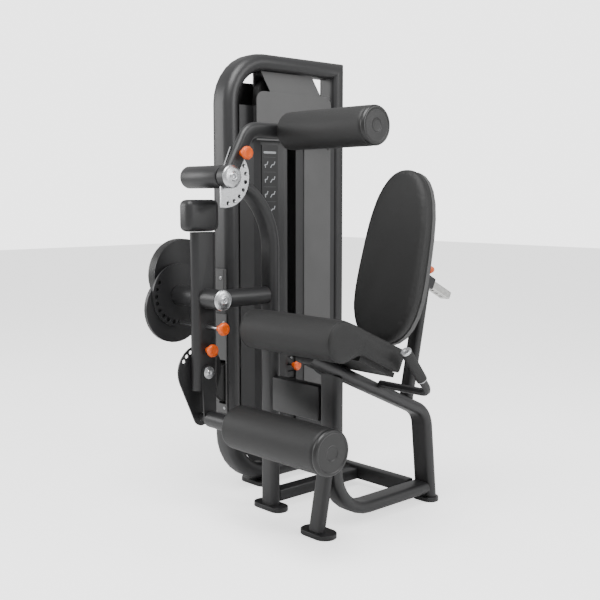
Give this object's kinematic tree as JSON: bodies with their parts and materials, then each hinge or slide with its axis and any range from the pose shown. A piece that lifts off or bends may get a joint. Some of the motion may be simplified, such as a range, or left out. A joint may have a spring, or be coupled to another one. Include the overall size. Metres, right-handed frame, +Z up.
{
  "type": "leg extension machine",
  "caption": "Seated leg extension and leg curl machine with a padded seat, sliding backrest, shin and thigh rollers, orange pull pins and an enclosed weight tower",
  "frame": {"origin": "on the floor, at the middle of the machine's bounding box", "axes": "+Z up; the user sits facing -Y; +X is the user's left, and the weight tower stands on the -X side"},
  "size_m": [0.8745, 0.9067, 1.542],
  "materials": {
    "charcoal_powder_coat": "satin",
    "grey_powder_coat": "satin",
    "black_upholstery": "matte",
    "black_roller_foam": "matte",
    "black_plastic": "matte",
    "orange_plastic": "gloss",
    "bright_steel": "brushed",
    "black_iron": "satin",
    "belt_rubber": "matte",
    "black_board": "matte"
  },
  "bodies": {
    "base": {"access_panel": "grey_powder_coat", "back_support": "charcoal_powder_coat", "belt_guard": "grey_powder_coat", "cane_post": "charcoal_powder_coat", "cross_beam": "charcoal_powder_coat", "drive_belt": "belt_rubber", "far_shroud": "charcoal_powder_coat", "floor_rails": "charcoal_powder_coat", "front_cover": "grey_powder_coat", "front_foot": "charcoal_powder_coat", "front_shroud": "charcoal_powder_coat", "grip_left": "black_roller_foam", "grip_right": "black_roller_foam", "guide_rod_front": "bright_steel", "guide_rod_rear": "bright_steel", "handle_left": "charcoal_powder_coat", "handle_right": "charcoal_powder_coat", "hood": "grey_powder_coat", "pivot_housing": "charcoal_powder_coat", "placard": "black_plastic", "pulley_bracket": "charcoal_powder_coat", "quadrant_plate": "bright_steel", "rear_foot": "charcoal_powder_coat", "rear_shroud": "charcoal_powder_coat", "resting_plates": "black_iron", "seat_board": "black_board", "seat_cushion": "black_upholstery", "seat_post": "charcoal_powder_coat", "seat_rail": "charcoal_powder_coat", "thigh_sleeve": "charcoal_powder_coat", "tower_foot_front": "charcoal_powder_coat", "tower_foot_rear": "charcoal_powder_coat", "tower_frame": "charcoal_powder_coat"},
    "cam": {"start_plate": "charcoal_powder_coat", "lower_cam": "charcoal_powder_coat", "belt_cam": "charcoal_powder_coat", "hub_shaft": "bright_steel"},
    "lever": {"lever_tube": "charcoal_powder_coat", "balance_weight": "charcoal_powder_coat"},
    "start_pull_pin": {"start_pin": "orange_plastic"},
    "link": {"link_plate_outer": "charcoal_powder_coat", "link_plate_inner": "charcoal_powder_coat", "roller_shaft": "charcoal_powder_coat", "link_bolt": "bright_steel"},
    "link_pull_pin": {"link_pin": "orange_plastic"},
    "shin_roller": {"lower_roller": "black_roller_foam", "lower_roller_cap": "black_plastic"},
    "thigh_hold_down": {"thigh_arm": "charcoal_powder_coat", "thigh_cap": "bright_steel"},
    "thigh_pull_pin": {"thigh_pin": "orange_plastic"},
    "thigh_roller": {"upper_roller": "black_roller_foam", "upper_roller_cap": "black_plastic"},
    "backrest": {"back_cushion": "black_upholstery", "back_board": "grey_powder_coat", "slide_bar": "bright_steel"},
    "backrest_pull_pin": {"backrest_pin": "orange_plastic"},
    "lifted_weights": {"lifted_plates": "black_iron"},
    "selector": {"selector_pin": "orange_plastic"},
    "guide_pulley_wheel": {"guide_pulley": "black_plastic"},
    "top_pulley_wheel": {"top_pulley": "black_plastic"}
  },
  "joints": [
    {"name": "cam_turn", "type": "hinge", "parent": "base", "child": "cam", "pos_m": [-0.184, -0.33, 0.725], "axis": [-1, 0, 0], "range_deg": [0, 90], "deforming": ["drive_belt"]},
    {"name": "start_setting", "type": "hinge", "parent": "cam", "child": "lever", "pos_m": [-0.184, -0.33, 0.725], "axis": [-1, 0, 0], "range_deg": [0, 60]},
    {"name": "start_pin_pull", "type": "slide", "parent": "lever", "child": "start_pull_pin", "axis": [1, 0, 0], "range_m": [0, 0.012], "stiffness_N_per_m": 400},
    {"name": "link_setting", "type": "hinge", "parent": "lever", "child": "link", "pos_m": [-0.184, -0.33, 0.487], "axis": [-1, 0, 0], "range_deg": [-15, 45]},
    {"name": "link_pin_pull", "type": "slide", "parent": "lever", "child": "link_pull_pin", "axis": [1, 0, 0], "range_m": [0, 0.012], "stiffness_N_per_m": 400},
    {"name": "shin_roller_spin", "type": "hinge", "parent": "link", "child": "shin_roller", "pos_m": [0.178, -0.325, 0.335], "axis": [1, 0, 0], "continuous": true},
    {"name": "thigh_setting", "type": "hinge", "parent": "base", "child": "thigh_hold_down", "pos_m": [-0.059, -0.322, 1.107], "axis": [-1, 0, 0], "range_deg": [0, 100]},
    {"name": "thigh_pin_pull", "type": "slide", "parent": "thigh_hold_down", "child": "thigh_pull_pin", "axis": [1, 0, 0], "range_m": [0, 0.012], "stiffness_N_per_m": 400},
    {"name": "thigh_roller_spin", "type": "hinge", "parent": "thigh_hold_down", "child": "thigh_roller", "pos_m": [0.178, -0.095, 1.252], "axis": [1, 0, 0], "continuous": true},
    {"name": "backrest_slide", "type": "slide", "parent": "base", "child": "backrest", "axis": [0, -0.8942, 0.4478], "range_m": [0, 0.078]},
    {"name": "backrest_pin_pull", "type": "slide", "parent": "base", "child": "backrest_pull_pin", "axis": [0, 0.4478, 0.8942], "range_m": [0, 0.012], "stiffness_N_per_m": 400},
    {"name": "weight_lift", "type": "slide", "parent": "base", "child": "lifted_weights", "axis": [0, 0, 1], "range_m": [0, 0.2]},
    {"name": "selector_pull", "type": "slide", "parent": "lifted_weights", "child": "selector", "axis": [1, 0, 0], "range_m": [0, 0.06]},
    {"name": "guide_pulley_spin", "type": "hinge", "parent": "base", "child": "guide_pulley_wheel", "pos_m": [-0.354, -0.10625, 0.4], "axis": [1, 0, 0], "range_deg": [-200, 200]},
    {"name": "top_pulley_spin", "type": "hinge", "parent": "base", "child": "top_pulley_wheel", "pos_m": [-0.354, 0.1015, 1.398], "axis": [1, 0, 0], "range_deg": [-200, 200]}
  ],
  "couplings": [
    {"joint": "weight_lift", "follows": "cam_turn", "m_per_rad": 0.12},
    {"joint": "guide_pulley_spin", "follows": "cam_turn", "ratio": 1.7143},
    {"joint": "top_pulley_spin", "follows": "cam_turn", "ratio": -1.8182}
  ]
}
